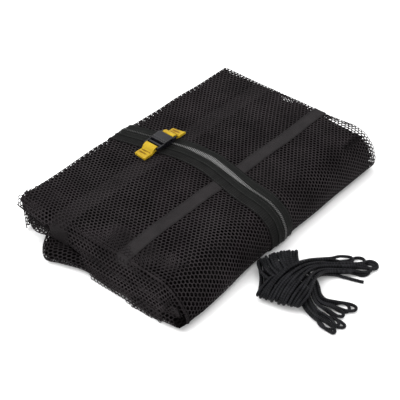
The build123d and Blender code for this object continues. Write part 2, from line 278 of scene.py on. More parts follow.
@dataclass(frozen=True)
class WovenFinish(Finish):
    """A woven tape, with its ribs along the piece's own flat coordinates."""

    ends: float = 16.0
    picks: float = 200.0
    rough: float = 0.6
    relief: float = 0.00035
    gloss: float = 0.05

    def make(self) -> Material:
        """Build the material."""
        graph = Graph(self.name)
        across, along = graph.flat()
        warp = (across * (2 * pi * self.ends)).wave()
        weft = (along * (2 * pi * self.picks) + warp * 1.4).wave()
        weave = (warp * weft) * 0.5 + 0.5
        patch = graph.cloud(60.0, 4.0).spread(0.3, 0.7)
        fuzz = graph.cloud(900.0, 3.0)
        share = weave * 0.35 + patch * 0.4 + fuzz * 0.25
        colour = graph.tint(share, self.dark, self.light)
        normal = graph.bump(weave + fuzz * 0.4, self.relief, 0.9)
        return graph.surface(colour, Roughness=patch.spread(0.0, 1.0, self.rough - 0.08, self.rough + 0.1),
                             Normal=normal, Specular_IOR_Level=self.gloss)


@dataclass(frozen=True)
class MouldedFinish(Finish):
    """Moulded plastic or cast metal, with a fine skin and worn high spots."""

    rough: float
    metal: float = 0.0
    coat: float = 0.0
    gloss: float = 0.3
    grain: float = 1400.0

    def make(self) -> Material:
        """Build the material."""
        graph = Graph(self.name)
        skin = graph.cloud(self.grain, 2.0)
        smudge = graph.cloud(90.0, 3.0).spread(0.35, 0.75)
        colour = graph.tint(smudge * 0.7 + skin * 0.3, self.dark, self.light)
        normal = graph.bump(skin, 0.00006, 0.5)
        rough = smudge.spread(0.0, 1.0, self.rough - 0.06, self.rough + 0.12)
        return graph.surface(colour, Roughness=rough, Normal=normal, Metallic=self.metal, Coat_Weight=self.coat,
                             Coat_Roughness=0.18, Specular_IOR_Level=self.gloss)


@dataclass(frozen=True)
class CoilFinish(Finish):
    """The teeth of a zip, with a painted highlight over the middle of its length, painted shade lower down, and
    random grey dust.
    """

    # The painted highlight fades out towards the rear between these two places along y, in metres.
    painted_highlight_fade_from: float = 0.035
    painted_highlight_fade_to: float = 0.075

    def make(self) -> Material:
        """Build the material."""
        graph = Graph(self.name)
        _, y, z = graph.place()
        # Painted highlight: the teeth are lighter over the middle of the zip's length and dimmer towards both
        # ends.
        painted_highlight = y.spread(self.painted_highlight_fade_from, self.painted_highlight_fade_to, 1.0, 0.16) * y.spread(-0.09, -0.06, 0.45, 1.0)
        dust = graph.cloud(420.0, 4.0).spread(0.3, 0.7, 0.55, 1.0)
        # Painted shade: the teeth are darker lower down the pack.
        low = z.spread(0.01, 0.045, 0.6, 1.0)
        colour = graph.tint(painted_highlight * dust * low, self.dark, self.light)
        normal = graph.bump(graph.cloud(1500.0, 2.0), 0.00005, 0.5)
        return graph.surface(colour, Roughness=dust.spread(0.5, 1.0, 0.4, 0.28), Normal=normal,
                             Specular_IOR_Level=0.35)


@dataclass(frozen=True)
class BraidFinish(Finish):
    """A braided cord, whose plaits cross each other along its own flat coordinates."""

    plaits: float
    turns: float = 4.0

    def make(self) -> Material:
        """Build the material."""
        graph = Graph(self.name)
        along, around = graph.flat()
        one = (along * (2 * pi * self.plaits) + around * (2 * pi * self.turns)).wave()
        two = (along * (2 * pi * self.plaits) - around * (2 * pi * self.turns)).wave()
        plait = ((one * two) * 0.5 + 0.5).spread(0.55, 1.0)
        patch = graph.cloud(120.0, 3.0).spread(0.3, 0.7)
        colour = graph.tint(plait * 0.75 + patch * 0.25, self.dark, self.light)
        normal = graph.bump(plait, 0.0005, 0.9)
        return graph.surface(colour, Roughness=patch.spread(0.0, 1.0, 0.28, 0.42), Normal=normal,
                             Specular_IOR_Level=0.06)


# ---- making and ending a piece ----------------------------------------------------------------------------
def deselect_all() -> None:
    """Leave edit mode and deselect every object."""
    if bpy.context.object and bpy.context.object.mode != "OBJECT":
        bpy.ops.object.mode_set(mode="OBJECT")
    bpy.ops.object.select_all(action="DESELECT")


def choose(obj: Object) -> None:
    """Make one object the only selected and active one."""
    deselect_all()
    obj.select_set(True)
    bpy.context.view_layer.objects.active = obj


def apply_all(obj: Object) -> None:
    """Apply an object's modifiers in order."""
    choose(obj)
    for modifier in list(obj.modifiers):
        bpy.ops.object.modifier_apply(modifier=modifier.name)


def rows_of(items: bpy.types.bpy_prop_collection, name: str) -> Array:
    """One vector of every item of a mesh, a row each."""
    values = np.empty(len(items) * 3)
    items.foreach_get(name, values)
    return values.reshape(-1, 3)


def vertices_of(obj: Object) -> Array:
    """The mesh's points, a row each."""
    return rows_of(obj.data.vertices, "co")


def put_vertices(obj: Object, points: Array) -> None:
    """Move the mesh's points to places given in millimetres."""
    obj.data.vertices.foreach_set("co", (np.asarray(points) * MM).ravel())
    obj.data.update()


def link_new(name: str, data: bpy.types.ID) -> Object:
    """Put a new object with this data in the scene."""
    obj = bpy.data.objects.new(name, data)
    bpy.context.collection.objects.link(obj)
    return obj


def box_mm(node: str) -> list[Vector]:
    """The lowest and highest corners of a node of the frame, in millimetres."""
    return [Vector(corner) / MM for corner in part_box(node)]


def unit(rows: Array) -> Array:
    """Rows of length 1."""
    return rows / np.linalg.norm(rows, axis=1)[:, None]


def lengths_along(path: Array) -> Array:
    """Length along a path at each of its points."""
    return np.concatenate([[0], np.cumsum(np.linalg.norm(np.diff(path, axis=0), axis=1))])


def thicken(obj: Object, thickness: float, offset: float = 0.0) -> None:
    """Give a sheet its thickness, in millimetres."""
    solid = obj.modifiers.new("thickness", "SOLIDIFY")
    solid.thickness = thickness * MM
    solid.offset = offset
    solid.use_even_offset = False
    apply_all(obj)


def finish_piece(obj: Object, name: str, material: Material, body: str,
                 smooth: float | None = 40.0) -> Object:
    """Name, dress and hand over one finished piece.

    Args:
        obj: The piece, at the origin with its place in its mesh.
        name: Its name.
        material: Its finish.
        body: The body that it moves with.
        smooth: The angle in degrees below which edges are shaded smooth, or None.

    Returns:
        The piece.
    """
    obj.name = name
    obj.data.name = name
    obj.data.materials.clear()
    obj.data.materials.append(material)
    if smooth is not None and obj.type == "MESH":
        choose(obj)
        bpy.ops.object.shade_smooth_by_angle(angle=radians(smooth))
    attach(obj, body)
    deselect_all()
    LOG.info("made %s", name)
    return obj


def through(stations: Sequence[Sequence[float]], at: Array | float) -> Array:
    """A smooth curve through stations.

    Args:
        stations: Rows of a rising position and one or more values.
        at: Positions, held at the first and last station.

    Returns:
        The value at each position, or a row of values where a station has several.
    """
    table = np.array(stations, float)
    keys, values = table[:, 0], table[:, 1:]
    slopes = np.gradient(values, keys, axis=0)
    where = np.clip(np.asarray(at, float), keys[0], keys[-1])
    i = np.clip(np.searchsorted(keys, where, side="right") - 1, 0, len(keys) - 2)
    width = (keys[i + 1] - keys[i])[..., None]
    t = (where - keys[i])[..., None] / width
    rise = t * t * (3 - 2 * t)
    bend = t * (1 - t)
    result = values[i] * (1 - rise) + values[i + 1] * rise
    result = result + width * bend * ((1 - t) * slopes[i] - t * slopes[i + 1])
    return result[..., 0] if values.shape[1] == 1 else result


def step(low: float, high: float, at: Array) -> Array:
    """A soft step from 0 at low to 1 at high."""
    t = np.clip((at - low) / (high - low), 0.0, 1.0)
    return t * t * (3 - 2 * t)


# ---- the form that every layer of the pack follows --------------------------------------------------------
@dataclass
class PackForm:
    """The pack's outer surface, in millimetres: x along it, s around it from the foot of its rear face."""

    left: float
    right: float
    front: float
    rear: float
    height: float
    spine_radius: float = 42.0
    foot_radius: float = 14.0
    rear_radius: float = 9.0
    foot: float = 3.0
    lip: float = 8.0
    crease_inset: float = 5.0
    # y, where the middle of the zip runs
    zip_line: tuple = (
        (-132, 11), (-108, 10), (-75, 13), (-35, 21), (0, 27), (30, 25), (60, 18), (95, 9), (132, -1),
    )
    # y, slope of the end face in degrees, length to the tip, length to the cut edge
    left_end: tuple = (
        (-140, 77, 80, 80),
        (-60, 75, 80, 80),
        (-25, 75, 80, 78),
        (0, 75, 70, 60),
        (25, 74, 60, 36),
        (45, 68, 60, 20),
        (62, 52, 40, 17),
        (78, 38, 24, 23),
        (92, 28, 22, 36),
        (110, 24, 19, 42),
        (130, 22, 14, 38),
        (146, 22, 8, 30),
    )
    # y, slope of the net past the right crease in degrees, length to its cut edge
    right_end: tuple = (
        (-140, 10, 3), (-112, 10, 4), (-85, 16, 5), (-66, 40, 7), (-45, 78, 13), (0, 86, 17), (146, 88, 17),
    )
    right_inset: float = 4.0
    rear_puff: float = 3.0
    foot_splay: float = 12.0
    rear_draw: float = 5.0
    corner_droop: float = 4.5
    edge_droop: float = 1.0
    # length over which the left crease turns, direction of the rolled tip in degrees, and the distance to the
    # tip from which there is no roll
    bend_run: float = 7.0
    rolled: float = 205.0
    no_roll: float = 75.0
    ground: float = 0.4
    top_start: float = field(init=False)
    top_end: float = field(init=False)
    length: float = field(init=False)

    def __post_init__(self) -> None:
        """Work out the section and the curl of the left end once."""
        runs = [
            (self.height - self.rear_radius - self.foot, 0.0),
            (pi / 2 * self.rear_radius, pi / 2),
            (self.rear - self.rear_radius - self.front - self.spine_radius, pi / 2),
            (pi / 2 * self.spine_radius, pi),
            (self.height - self.spine_radius - self.foot_radius, pi),
            (pi / 2 * self.foot_radius, 1.5 * pi),
            (self.lip, 1.5 * pi),
        ]
        knots = np.concatenate([[0.0], np.cumsum([run for run, _ in runs])])
        turns = np.array([0.0] + [turn for _, turn in runs])
        self.top_start, self.top_end, self.length = knots[2], knots[3], knots[-1]
        self._s = np.linspace(0, self.length, 1600)
        self._turn = np.interp(self._s, knots, turns)
        stride = self._s[1]
        self._y = self.rear - np.concatenate([[0], np.cumsum(np.sin(self._turn[:-1]) * stride)])
        self._z = self.foot + np.concatenate([[0], np.cumsum(np.cos(self._turn[:-1]) * stride)])
        self._curl_y = np.linspace(self.front, self.rear + 6, 60)
        self._curl_t = np.linspace(0, 90, 181)
        slope, tip, _ = through(self.left_end, self._curl_y).T
        slope, tip, run = np.radians(slope)[:, None], tip[:, None], self._curl_t[None, :]
        face = slope * step(0, self.bend_run, run)
        roll = face + (radians(self.rolled) - slope) * step(tip - 3, tip + 9, run)
        turn = np.where(tip > self.no_roll, face, roll)
        pace = self._curl_t[1]
        self._curl_x = -np.cumsum(np.cos(turn), axis=1) * pace
        self._curl_z = -np.cumsum(np.sin(turn), axis=1) * pace
        self._curl_turn = turn

    def splay(self, x: Array, z: Array) -> Array:
        """How far the spine's foot spreads towards the front left corner."""
        return self.foot_splay * step(-50, -170, x) * step(self.height - 4, 8, z)

    def spread(self, x: Array, z: Array, s: Array) -> Array:
        """How far the front left corner spreads and the rear left edge draws in."""
        foot = self.splay(x, z) * step(self.top_end - 5, self.top_end + 10, s)
        return foot + self.rear_draw * step(-30, -130, x) * step(self.top_start + 50, self.top_start - 5, s)

    def zip_x(self, s: Array) -> Array:
        """Where the middle of the zip runs."""
        return through(self.zip_line, np.interp(s, self._s, self._y))

    def section(self, s: Array) -> tuple[Array, Array, Array]:
        """Y, height and direction of the outward normal around the pack."""
        inside = np.clip(s, 0, self.length)
        y = np.interp(inside, self._s, self._y)
        z = np.interp(inside, self._s, self._z)
        z = z + np.minimum(s, 0)
        return y, z, np.interp(inside, self._s, self._turn)

    def sink(self, x: Array, y: Array, s: Array) -> Array:
        """How far the loose fabric lies below its taut surface."""
        calm = np.clip(step(26, 60, np.abs(x - 8)) + step(34, 60, np.abs(y - 72)), 0, 1)
        ripple = np.sin(x / 31 + y / 47) * np.sin(y / 39 - x / 83 + 1.1)
        ripple = ripple + 0.5 * np.sin(x / 13.0 + y / 71 + 0.6) * np.sin(y / 22 + 2.2)
        near_spine = step(self.top_end - 60, self.top_end + 20, s)
        folds = near_spine * (0.7 + 0.7 * np.sin(s / 3.3 + 0.9 * np.sin(x / 43)))
        return calm * (0.6 + 0.55 * ripple) + folds * 0.35 + self.droop(x, y)

    def droop(self, x: Array, y: Array) -> Array:
        """How far the loose front left corner hangs in."""
        corner = step(-95, -185, x) * step(70, -110, y) * self.corner_droop
        return corner + step(-150, -186, x) * step(130, 20, y) * self.edge_droop

    def surface(self, x: Array, s: Array, lift: float = 0.0) -> Array:
        """Points of a layer.

        Args:
            x: Place along the pack. Past the left crease it is the length down the end face.
            s: Length around the pack.
            lift: Distance outside the taut surface.

        Returns:
            Rows of x, y and z.
        """
        x, s = np.broadcast_arrays(np.asarray(x, float), np.asarray(s, float))
        y, z, turn = self.section(s)
        crease = self.left + self.crease_inset
        past = np.clip(crease - x, 0, self._curl_t[-1])
        right_crease = self.right - self.right_inset
        over = np.maximum(x - right_crease, 0)
        flat_x = np.clip(x, crease, right_crease)
        row = np.clip((y - self._curl_y[0]) / (self._curl_y[1] - self._curl_y[0]), 0, len(self._curl_y) - 1.001)
        col = np.clip(past / self._curl_t[1], 0, len(self._curl_t) - 1.001)
        i, j = row.astype(int), col.astype(int)
        a, b = row - i, col - j

        def between(grid: Array) -> Array:
            """Bilinear value of a grid."""
            top = grid[i, j] * (1 - b) + grid[i, j + 1] * b
            low = grid[i + 1, j] * (1 - b) + grid[i + 1, j + 1] * b
            return top * (1 - a) + low * a

        bent = past > 0
        curl_x = np.where(bent, between(self._curl_x), 0)
        curl_z = np.where(bent, between(self._curl_z), 0)
        curl = np.where(bent, between(self._curl_turn), 0)
        depth = lift - self.sink(flat_x, y, s) * (1 - 0.6 * step(0, 20, past))
        slope = np.radians(through(self.right_end, y)[..., 0]) * step(0, 6, over)
        out_x = (np.sin(slope) - np.sin(curl)) * depth
        out = np.cos(curl) * np.cos(slope) * depth
        curl_x = curl_x + over * np.cos(0.6 * slope) * np.cos(slope) ** 0.5
        inward = step(self.top_end + 15, self.top_end + 45, s)
        inward = inward + step(self.top_start + 2, self.top_start - 10, s)
        tuck = over * np.sin(slope) * np.where(over > 3, 1.0, 0.5) - inward * curl_z
        puff = self.rear_puff * np.exp(-(((s - self.top_start + 6) / 13) ** 2))
        puff = puff * step(24, 60, np.abs(flat_x + 1))
        puff = puff * (1 - 0.8 * step(-20, 20, flat_x))
        puff = puff * (0.7 + 0.3 * np.sin(flat_x / 17 + 1.0))
        y = y + (out - tuck) * np.cos(turn) + puff - self.spread(x, z, s)
        z = z + curl_z * (1 - inward) + (out - tuck) * np.sin(turn)
        return np.stack([flat_x + curl_x + out_x, y, np.maximum(z, self.ground)], -1)


# ---- netting ----------------------------------------------------------------------------------------------
@dataclass
class NetPattern:
    """The knit: columns of staggered holes."""

    column: float = 4.3
    row: float = 5.9
    strand: float = 1.25
    thickness: float = 0.75

    def patch(self, low: tuple[float, float], high: tuple[float, float], keep: Callable[[Array, Array], Array],
              turn: float = 0.0, seed: int = 0) -> tuple[Object, Array, int]:
        """Knit a flat patch.

        Args:
            low: Its lowest flat coordinates, in millimetres.
            high: Its highest ones.
            keep: Says for the middle of each hole whether it belongs to the patch.
            turn: Angle of the columns, in degrees.
            seed: Start of the slow sway of the columns.

        Returns:
            The patch, its flat points and its number of holes.
        """
        deselect_all()
        radius = self.column / 1.5
        bpy.ops.mesh.primitive_circle_add(vertices=6, radius=radius, fill_type="NGON", rotation=(0, 0, pi / 6))
        obj = bpy.context.object
        bpy.ops.object.transform_apply(location=True, rotation=True, scale=True)
        bpy.ops.object.mode_set(mode="EDIT")
        bpy.ops.mesh.select_all(action="SELECT")
        bpy.ops.transform.resize(value=(1, self.row / (sqrt(3) * radius), 1))
        bpy.ops.mesh.duplicate_move(TRANSFORM_OT_translate={"value": (self.column, self.row / 2, 0)})
        bpy.ops.object.mode_set(mode="OBJECT")
        reach = 0.5 * hypot(high[0] - low[0], high[1] - low[1]) if turn else 0.0
        middle = ((low[0] + high[0]) / 2, (low[1] + high[1]) / 2)
        start = (middle[0] - reach, middle[1] - reach) if turn else low
        spans = (2 * reach, 2 * reach) if turn else (high[0] - low[0], high[1] - low[1])
        for offset, count in (
            ((2 * self.column, 0, 0), int(spans[0] / (2 * self.column)) + 1),
            ((0, self.row, 0), int(spans[1] / self.row) + 1),
        ):
            tile = obj.modifiers.new("tile", "ARRAY")
            tile.use_relative_offset = False
            tile.use_constant_offset = True
            tile.constant_offset_displace = offset
            tile.count = max(count, 1)
        apply_all(obj)
        bpy.ops.object.mode_set(mode="EDIT")
        bpy.ops.mesh.select_all(action="SELECT")
        bpy.ops.mesh.remove_doubles(threshold=0.05)
        bpy.ops.mesh.select_all(action="DESELECT")
        bpy.ops.object.mode_set(mode="OBJECT")
        points = vertices_of(obj)
        points[:, :2] += start
        if turn:
            angle = radians(turn)
            dx, dy = points[:, 0] - middle[0], points[:, 1] - middle[1]
            points[:, 0] = middle[0] + dx * cos(angle) - dy * sin(angle)
            points[:, 1] = middle[1] + dx * sin(angle) + dy * cos(angle)
        u, v = points[:, 0].copy(), points[:, 1].copy()
        points[:, 0] += 2.2 * np.sin(v / 38 + seed) + 1.2 * np.sin(u / 29 + v / 61 + 2 * seed)
        points[:, 1] += 1.8 * np.sin(u / 45 + 0.7 * seed) + 1.0 * np.sin(v / 33 - u / 80)
        obj.data.vertices.foreach_set("co", points.ravel())
        centres = rows_of(obj.data.polygons, "center")
        inside = (centres[:, 0] > low[0]) & (centres[:, 0] < high[0])
        inside &= (centres[:, 1] > low[1]) & (centres[:, 1] < high[1])
        inside &= keep(centres[:, 0], centres[:, 1])
        obj.data.polygons.foreach_set("select", ~inside)
        bpy.ops.object.mode_set(mode="EDIT")
        bpy.ops.mesh.select_mode(type="FACE")
        bpy.ops.mesh.delete(type="FACE")
        bpy.ops.mesh.select_all(action="SELECT")
        bpy.ops.mesh.inset(thickness=self.strand / 2, depth=0, use_individual=True, use_even_offset=True)
        bpy.ops.mesh.delete(type="FACE")
        bpy.ops.object.mode_set(mode="OBJECT")
        return obj, vertices_of(obj)[:, :2], int(inside.sum())

    def lay(self, name: str, low: tuple[float, float], high: tuple[float, float],
            keep: Callable[[Array, Array], Array], form: Callable[[Array, Array], Array],
            material: Material, held: str = "folded", rests_on: Sequence[str] = ("outer_wrap",),
            turn: float = 0.0, seed: int = 0) -> Object:
        """Knit a patch and lay it on a form.

        Args:
            name: The piece's name.
            low: Lowest flat coordinates.
            high: Highest flat coordinates.
            keep: Which holes belong to the patch.
            form: Where flat coordinates lie in the row frame.
            material: Its finish.
            held: How the sheet is held. Not used.
            rests_on: What it lies on. Not used.
            turn: Angle of the columns.
            seed: Start of their sway.

        Returns:
            The piece.
        """
        obj, flat, holes = self.patch(low, high, keep, turn, seed)
        put_vertices(obj, form(flat[:, 0], flat[:, 1]))
        thicken(obj, self.thickness)
        finish_piece(obj, name, material, "pack", None)
        hexagon = self.column * self.row
        apothem = 0.9 * self.column / 1.5
        strands = 1 - (1 - self.strand / 2 / apothem) ** 2
        width = high[0] - low[0]
        width * MM
        holes * hexagon / width * MM
        holes * hexagon * strands * MM * MM
        return obj


def everywhere(u: Array, v: Array) -> Array:
    """Keep every hole."""
    return np.ones_like(u, bool)


@dataclass
class OuterTurn:
    """The two panels of netting on each side of the door, in two layers."""

    form: PackForm
    strand: Material
    painted_shade_net: Material
    pattern: NetPattern = field(default_factory=NetPattern)
    seam: float = 9.0
    # name, height over the taut surface and turn of the columns in degrees of the upper and the inner layer
    layers: tuple = (("panel", -0.9, 0.0), ("inner", -2.7, 4.0))
    past_left: float = 75.0
    past_right: float = 16.0
    # how far the panels of both sides go past the middle of the pack, under the door
    under_door: tuple[float, float] = (-12.0, 32.0)
    # length past the left crease on the spine's side and on the rear face
    spine_cut: float = 36.0
    rear_cut: float = 12.0

    def build(self) -> None:
        """Knit and lay the panels."""
        nets = [self.panel(layer, end) for layer in range(len(self.layers)) for end in End]
        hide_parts("outer_wrap")

    def panel(self, layer: int, end: End) -> Object:
        """One panel of one layer."""
        form = self.form
        kind, lift, turn = self.layers[layer]
        low_x = form.left - self.past_left if end is End.LEFT else self.under_door[0]
        high_x = self.under_door[1] if end is End.LEFT else form.right + self.past_right

        def keep(u: Array, v: Array) -> Array:
            """Holes on this side of the door and above the ground."""
            side = (u - form.zip_x(v)) * end.value
            spot = form.surface(u, v, lift)
            y = form.section(v)[0]
            cut = through(form.left_end, y)[:, 2]
            past = form.left + form.crease_inset - u
            ragged = 1.6 * np.sin(v * 1.7) + 1.2 * np.sin(v * 0.63)
            over = u - (form.right - form.right_inset)
            cut = np.where(v < form.top_start - 8, self.rear_cut, cut)
            cut = np.where(v > form.top_end + 50, self.spine_cut, cut)
            whole = (past < cut + ragged - 4 * layer) & (over < through(form.right_end, y)[:, 1] - 2 * layer)
            return (side > self.seam) & (spot[:, 2] > 1.2) & whole

        # The inner layer is laid in the darker net of painted shade.
        return self.pattern.lay(f"net_{kind}_{end.name.lower()}", (low_x, 0), (high_x, form.length), keep,
                                lambda u, v: form.surface(u, v, lift), self.painted_shade_net if layer else self.strand,
                                turn=turn, seed=layer + 2 * (end is End.RIGHT), rests_on=("upper_fold",))


@dataclass
class FoldNose:
    """A fold of netting at one end of a packet: over its top, around its nose and back under it."""

    name: str
    end: End
    low: float
    high: float
    # y, how far out the nose reaches
    reach: tuple
    inset: float = 34.0
    blunt: float = 1.3
    node: str = ""
    turn: float = 0.0
    y_low: float = -128.0
    y_high: float = 134.0

    def build(self, pattern: NetPattern, material: Material) -> Object:
        """Knit the fold and lay it."""
        half = (self.high - self.low) / 2
        bulge = self.blunt * half
        arc = pi * sqrt((half**2 + bulge**2) / 2)
        length = arc + 2 * self.inset

        def form(u: Array, v: Array) -> Array:
            """Flat v runs along the fold, and u around it from its top."""
            from_tip = u - length / 2
            angle = np.clip(from_tip / (arc / 2), -1, 1) * pi / 2
            straight = np.maximum(np.abs(from_tip) - arc / 2, 0)
            tip = through(self.reach, v)
            swell = 1 + 0.1 * np.sin(v / 19 + self.low)
            x = tip - self.end.value * (bulge * (1 - np.cos(angle)) + straight)
            x = x + 0.9 * np.sin(v / 11 + self.low) * np.cos(angle)
            z = (self.low + self.high) / 2 - half * np.sin(angle) / swell
            z = np.maximum(z + 0.5 * np.sin(v / 14 + from_tip / 9), 0.6)
            return np.stack([x, v + 0 * u, z], -1)

        piece = pattern.lay(self.name, (0, self.y_low), (length, self.y_high), everywhere, form, material,
                            rests_on=("lower_fold",), turn=self.turn, seed=int(self.low))
        if self.node:
            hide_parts(self.node)
        return piece


@dataclass
class FoldCore:
    """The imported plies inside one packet, seen only through the netting in front of them."""

    name: str
    form: PackForm
    low: float
    high: float
    # y, left end
    left_end: tuple
    # y, right end
    right_end: tuple
    depth: float = 4.0
    y_high: float = 132.0
    cuts: int = 40

    def build(self, material: Material) -> Object:
        """Shape the plies from a block."""
        deselect_all()
        bpy.ops.mesh.primitive_cube_add(size=2)
        obj = bpy.context.object
        bpy.ops.object.mode_set(mode="EDIT")
        bpy.ops.mesh.select_all(action="SELECT")
        bpy.ops.mesh.subdivide(number_cuts=self.cuts)
        bpy.ops.object.mode_set(mode="OBJECT")
        a, b, c = vertices_of(obj).T
        middle, half = (self.low + self.high) / 2, (self.high - self.low) / 2
        z = middle + half * c
        spine, foot = self.form.spine_radius, self.form.foot_radius
        rise = np.clip(z - (self.form.height - spine), 0, spine - self.depth)
        inset = spine - np.sqrt(spine**2 - rise**2)
        drop = np.clip(foot - z, 0, foot)
        inset = inset + foot - np.sqrt(foot**2 - drop**2)
        rough_x = self.form.left + 200 * (a + 1)
        front = self.form.front + self.depth + inset + 4.0 * step(-95, -185, rough_x)
        front = front - self.form.splay(rough_x, z)
        y = front + (self.y_high - front) * (b + 1) / 2
        left = through(self.left_end, y)
        right = through(self.right_end, y)
        x = left + (right - left) * (a + 1) / 2
        edge = 1 - np.minimum(np.minimum(x - left, right - x) / 9.0, 1.0)
        z = middle + half * c * np.sqrt(1 - 0.8 * edge**2)
        over = np.clip(self.form.front + spine - y, 0, spine - self.depth)
        cap = self.form.height - spine + np.sqrt(spine**2 - over**2)
        cap = cap - self.depth * spine / np.sqrt(spine**2 - over**2)
        z = np.minimum(z, cap) - self.form.droop(x, y) * (z / self.form.height) ** 2
        plies = 0.5 * np.sin(z * 2.2 + 0.6 * np.sin(y / 31))
        x = x + plies * np.abs(a) ** 8 * np.sign(a)
        y = y + plies * np.abs(b) ** 8 * np.sign(b)
        z = np.maximum(z + 0.4 * np.sin(x / 37 + self.low) * np.sin(y / 29), 0.9 + 0 * z)
        put_vertices(obj, np.stack([x, y, z], -1))
        finish_piece(obj, self.name, material, "pack", 50.0)
        return obj


def from_edge(edge: float, *stations: tuple[float, float]) -> tuple[tuple[float, float], ...]:
    """Stations of y and x, from each one's y and its distance from an edge of the pack."""
    return tuple((y, edge + out) for y, out in stations)


@dataclass
class FoldPackets:
    """The three packets of folds inside the outer turn, and the netting under them."""

    form: PackForm
    fold: Material
    painted_shade_net: Material
    painted_shade_plies: Material
    pattern: NetPattern = field(default_factory=NetPattern)

    def noses(self) -> tuple[FoldNose, ...]:
        """The folds at both ends, each end from the top down."""
        left, right = self.form.left, self.form.right
        return (
            FoldNose("nose_upper_left", End.LEFT, 37.0, 54.0,
                     from_edge(left, (-130, 2), (20, -3), (60, -4), (100, -12), (134, -9)),
                     node="upper_fold", turn=3, y_low=-108),
            FoldNose("nose_middle_left", End.LEFT, 22.0, 34.0,
                     from_edge(left, (-130, -3), (30, -7), (60, -6), (75, -10), (94, -16), (118, -8), (134, 2)),
                     node="middle_fold", turn=-4, inset=46, y_low=-118),
            FoldNose("nose_lower_left", End.LEFT, 0.8, 19.0,
                     from_edge(left, (-150, -5), (-120, -10), (-40, -11), (20, -15), (48, -23), (66, -30),
                               (80, -20), (95, 1), (134, 8)),
                     node="lower_fold", turn=2, inset=40, y_low=-134),
            FoldNose("nose_upper_right", End.RIGHT, 37.0, 54.0,
                     from_edge(right, (-126, -7), (-80, -5), (-50, -4), (134, -2)), turn=-3, y_low=-120),
            FoldNose("nose_middle_right", End.RIGHT, 20.5, 35.0,
                     from_edge(right, (-130, -7), (-60, -5), (-30, -4), (134, -4)), turn=3),
            FoldNose("nose_lower_right", End.RIGHT, 0.8, 19.0, from_edge(right, (-130, -9), (134, -4)), turn=2),
        )

    def cores(self) -> tuple[FoldCore, ...]:
        """The plies inside the packets, from the top down."""
        left = self.form.left
        end = from_edge(self.form.right, (-135, -8), (-80, -6), (-45, -6), (132, -6))
        return (
            FoldCore("plies_upper", self.form, 36.5, 53.6,
                     from_edge(left, (-135, 4), (60, 2), (100, -5), (132, -1)), end),
            FoldCore("plies_middle", self.form, 20.8, 35.5,
                     from_edge(left, (-135, 3), (30, -2), (60, 2), (80, 12), (132, 22)), end),
            FoldCore("plies_lower", self.form, 2.0, 19.6,
                     from_edge(left, (-135, -6), (-20, -7), (30, -13), (50, -19), (66, -26), (78, -16),
                               (92, 10), (132, 22)), end),
        )

    def build(self) -> None:
        """Lay the folds, shape the plies and lay the net under them."""
        form = self.form
        for nose in self.noses():
            # The left folds take the somewhat darker net of painted shade, the right ones the darker net of
            # painted shade.
            nose.build(self.pattern, self.fold if nose.end is End.LEFT else self.painted_shade_net)
        for core in self.cores():
            core.build(self.painted_shade_plies)
        low, high = (form.left + 6, form.front + 24), (form.right - 4, form.rear - 3)
        # The net under the plies is laid in the darker net of painted shade.
        self.pattern.lay("net_underside", low, high, everywhere,
                         lambda u, v: np.stack([u, v, 1.2 + 0.3 * np.sin(u / 21) * np.sin(v / 27)], -1),
                         self.painted_shade_net, rests_on=("lower_fold",), seed=5)


# ---- strips that lie on the pack --------------------------------------------------------------------------
def strip(across: tuple[float, float], along: tuple[float, float], cuts: tuple[int, int],
          form: Callable[[Array, Array], Array], thickness: float) -> Object:
    """A woven strip on a form.

    Args:
        across: Its flat coordinates from edge to edge, in millimetres.
        along: Its flat coordinates from end to end.
        cuts: Its divisions across and along.
        form: Where flat coordinates lie in the row frame.
        thickness: Its thickness.

    Returns:
        The strip.
    """
    deselect_all()
    bpy.ops.mesh.primitive_grid_add(x_subdivisions=cuts[0], y_subdivisions=cuts[1], size=2, calc_uvs=True)
    obj = bpy.context.object
    flat = vertices_of(obj)
    u = across[0] + (across[1] - across[0]) * (flat[:, 0] + 1) / 2
    v = along[0] + (along[1] - along[0]) * (flat[:, 1] + 1) / 2
    put_vertices(obj, form(u, v))
    thicken(obj, thickness)
    return obj


def rod(radius: float, length: float, turn: Triple, cuts: Sequence[tuple[Triple, Triple]]) -> Shape:
    """Model a thin six-sided rod at the origin.

    Args:
        radius: Its radius, in millimetres.
        length: Its length.
        turn: Its turn from the upright, in radians about x, y and z.
        cuts: A point and the normal of each plane that divides its sides.

    Returns:
        Its points and its faces.
    """
    deselect_all()
    bpy.ops.mesh.primitive_cylinder_add(vertices=6, radius=radius, depth=length, rotation=turn,
                                        end_fill_type="NGON")
    obj = bpy.context.object
    bpy.ops.object.transform_apply(location=True, rotation=True, scale=True)
    bpy.ops.object.mode_set(mode="EDIT")
    for point, normal in cuts:
        bpy.ops.mesh.select_all(action="SELECT")
        bpy.ops.mesh.bisect(plane_co=point, plane_no=normal)
    bpy.ops.object.mode_set(mode="OBJECT")
    shape = vertices_of(obj), [tuple(face.vertices) for face in obj.data.polygons]
    bpy.data.objects.remove(obj)
    return shape


@dataclass
class Stitches:
    """A run of stitches, each a short thread that dips into the cloth at both ends."""

    pitch: float = 4.2
    length: float = 3.2
    radius: float = 0.32
    rise: float = 0.35

    def thread(self) -> Shape:
        """Model one stitch once, along its own y."""
        points, faces = rod(self.radius, self.length, (pi / 2, 0, 0), [((0, 0, 0), (0, 1, 0))])
        points[:, 2] += self.rise * (1 - (2 * points[:, 1] / self.length) ** 2)
        return points, faces

    def sew(self, name: str, path: Array, out: Array, material: Material, body: str) -> Object:
        """Sew along a path.

        Args:
            name: The piece's name.
            path: Points along the seam, close together.
            out: The cloth's outward direction at each of them.
            material: The thread's finish.
            body: The body that it moves with.

        Returns:
            The seam.
        """
        points, faces = self.thread()
        runs = lengths_along(path)
        spots = np.arange(self.pitch / 2, runs[-1], self.pitch)
        return copies(name, points, faces, frames_on(path, out, runs, spots), material, body)


